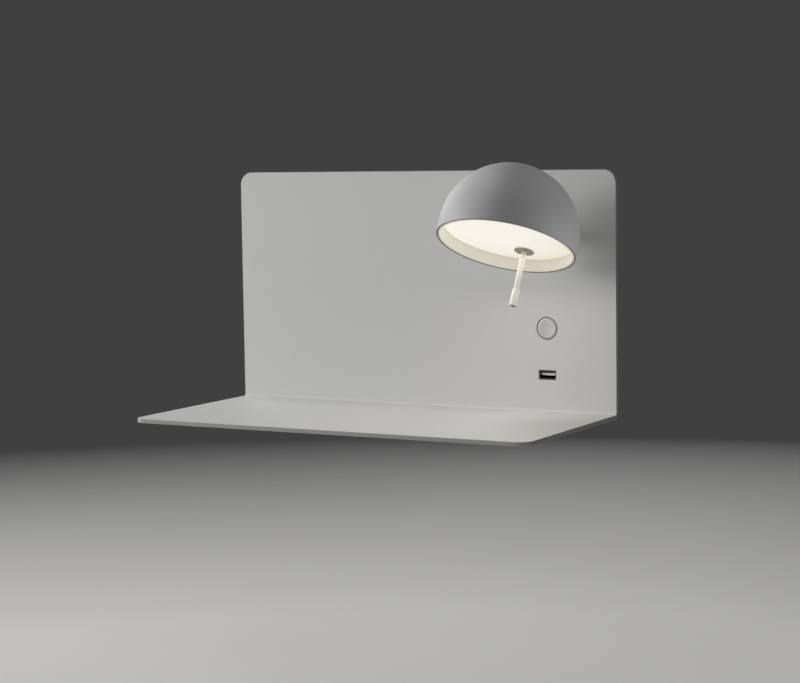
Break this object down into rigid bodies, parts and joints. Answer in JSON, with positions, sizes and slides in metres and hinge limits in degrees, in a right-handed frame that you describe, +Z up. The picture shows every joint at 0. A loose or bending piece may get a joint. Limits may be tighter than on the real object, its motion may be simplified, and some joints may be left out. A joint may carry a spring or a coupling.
{
  "type": "wall lamp with shelf",
  "caption": "Wall light on a bent-sheet shelf: a hemispherical head on a short stem turns and tilts by a thin handle, above a push button and a USB socket.",
  "frame": {"origin": "centre of the wall bracket's back face, where it meets the wall", "axes": "+X right along the wall, +Y into the wall, +Z up"},
  "size_m": [0.32, 0.18, 0.1868],
  "materials": {
    "plate_coat": "fine matt powder coat",
    "stem_coat": "fine matt powder coat",
    "shade_coat": "fine matt powder coat",
    "button_coat": "fine matt powder coat",
    "handle_coat": "satin lacquer",
    "opal": "opal, satin",
    "cream_plastic": "satin",
    "cap_metal": "satin",
    "box_steel": "matt powder coat",
    "bracket_steel": "zinc plated",
    "zinc": "zinc plated",
    "hub_steel": "turned and milled",
    "spring_steel": "drawn wire",
    "socket_steel": "nickel plated",
    "socket_plastic": "moulded",
    "gold_plate": "gold plated",
    "black_plastic": "moulded",
    "terminal_plastic": "moulded",
    "brass": "pressed",
    "driver_plastic": "fine spark texture",
    "board_green": "solder resist",
    "winding": "tape and sleeve",
    "plunger_plastic": "moulded",
    "lead_brown": "insulation",
    "lead_blue": "insulation",
    "lead_white": "insulation",
    "heat_aluminium": "rolled",
    "led_white": "white solder resist",
    "led_phosphor": "phosphor"
  },
  "bodies": {
    "base": {"shelf_plate": "plate_coat", "back_box": "box_steel", "box_nuts": "zinc", "wall_bracket": "bracket_steel", "lock_screws": "zinc", "cable_grommet": "black_plastic", "terminal_block": "terminal_plastic", "terminal_screws": "zinc", "earth_terminal": "brass", "led_driver": "driver_plastic", "driver_screws": "zinc", "usb_board": "board_green", "supply_parts": "winding", "board_spacers": "zinc", "board_screws": "zinc", "usb_shell": "socket_steel", "usb_tongue": "socket_plastic", "usb_contacts": "gold_plate", "button_guide": "black_plastic", "button_spring": "spring_steel", "switch_body": "black_plastic", "stem_collar": "stem_coat", "stem_tube": "stem_coat", "stem_washer": "zinc", "stem_nut": "zinc", "switch_leads": "lead_brown", "usb_leads": "lead_blue", "lamp_lead": "lead_white", "swivel_washer": "black_plastic", "swivel_nut": "zinc"},
    "swivel": {"swivel_hub": "hub_steel", "tilt_washers": "brass"},
    "head": {"tilt_bracket": "bracket_steel", "bracket_screws": "zinc", "tilt_pin": "zinc", "tilt_nut": "zinc", "heat_plate": "heat_aluminium", "led_board": "led_white", "led_chips": "led_phosphor", "head_lead": "lead_white", "diffuser_frame": "cream_plastic", "diffuser": "opal", "shade": "shade_coat", "shade_screws": "zinc", "centre_cap": "cap_metal", "handle_rod": "handle_coat", "handle_grip": "handle_coat", "rod_nut": "zinc"},
    "button": {"button_cap": "button_coat", "switch_plunger": "plunger_plastic"}
  },
  "joints": [
    {"name": "head_swivel", "type": "hinge", "parent": "base", "child": "swivel", "pos_m": [0.105, -0.0589, 0.052], "axis": [0, 1, 0], "range_deg": [-170, 170]},
    {"name": "head_tilt", "type": "hinge", "parent": "swivel", "child": "head", "pos_m": [0.105, -0.0589, 0.052], "axis": [-0.9997, 0, 0.0244], "range_deg": [-25, 40]},
    {"name": "button_press", "type": "slide", "parent": "base", "child": "button", "axis": [0, 1, 0], "range_m": [0, 0.0015], "stiffness_N_per_m": 400, "springref_m": -0.003, "deforming": ["button_spring"]}
  ]
}
